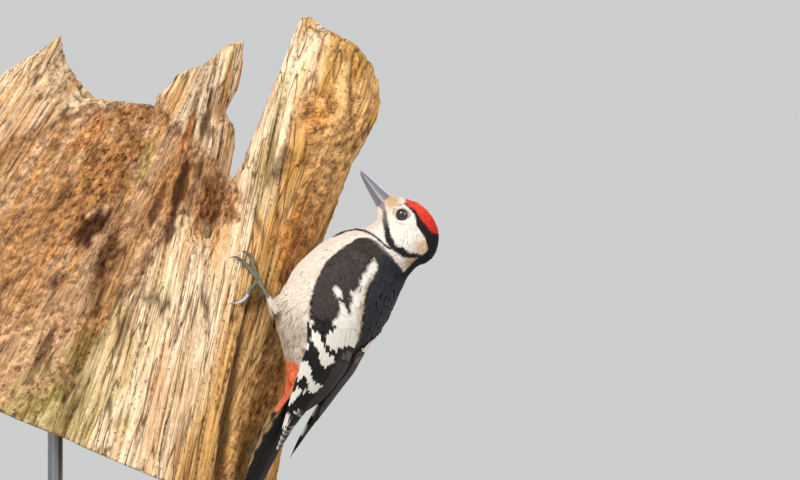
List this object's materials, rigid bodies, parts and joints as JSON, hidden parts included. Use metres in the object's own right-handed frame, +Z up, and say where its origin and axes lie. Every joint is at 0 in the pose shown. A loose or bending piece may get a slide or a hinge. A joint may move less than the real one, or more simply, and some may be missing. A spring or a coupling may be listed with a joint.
{
  "type": "woodpecker",
  "caption": "Life-size great spotted woodpecker in first-year plumage clinging upright to a cut length of weathered trunk, on rods and a flat base.",
  "frame": {"origin": "centre of the display base's underside", "axes": "+Z up, -Y towards the viewer of the picture, +X to the picture's right, the side the bird's back faces"},
  "size_m": [0.2428, 0.14, 0.298],
  "materials": {
    "plumage_pale": "soft cream contour feathers with black, red and buff markings",
    "plumage_black": "brownish to blue black feathers with white bars and patches",
    "plumage_red": "orange red feathers",
    "bill_horn": "grey horn, satin",
    "eye_glass": "dark brown glass eye, polished",
    "leg_scales": "olive grey scaly skin",
    "claw_horn": "dark grey brown horn",
    "trunk_wood": "weathered dead wood, dry and cracked",
    "base_wood": "dark stained board, satin",
    "rod_steel": "brushed"
  },
  "bodies": {
    "root": {"body": "plumage_pale", "neck": "plumage_pale", "head": "plumage_pale", "thigh_left": "plumage_pale", "thigh_right": "plumage_pale", "tail": "plumage_black", "wing_left_coverts": "plumage_black", "wing_left_secondaries": "plumage_black", "wing_left_primaries": "plumage_black", "wing_right_coverts": "plumage_black", "wing_right_secondaries": "plumage_black", "wing_right_primaries": "plumage_black", "vent": "plumage_red", "bill_upper": "bill_horn", "bill_lower": "bill_horn", "eye_left": "eye_glass", "eye_right": "eye_glass", "foot_left": "leg_scales", "foot_right": "leg_scales", "claw_left_1": "claw_horn", "claw_left_2": "claw_horn", "claw_left_3": "claw_horn", "claw_left_4": "claw_horn", "claw_right_1": "claw_horn", "claw_right_2": "claw_horn", "claw_right_3": "claw_horn", "claw_right_4": "claw_horn", "perch": "trunk_wood", "stand_base": "base_wood", "stand_rod_1": "rod_steel", "stand_rod_2": "rod_steel"}
  },
  "joints": []
}
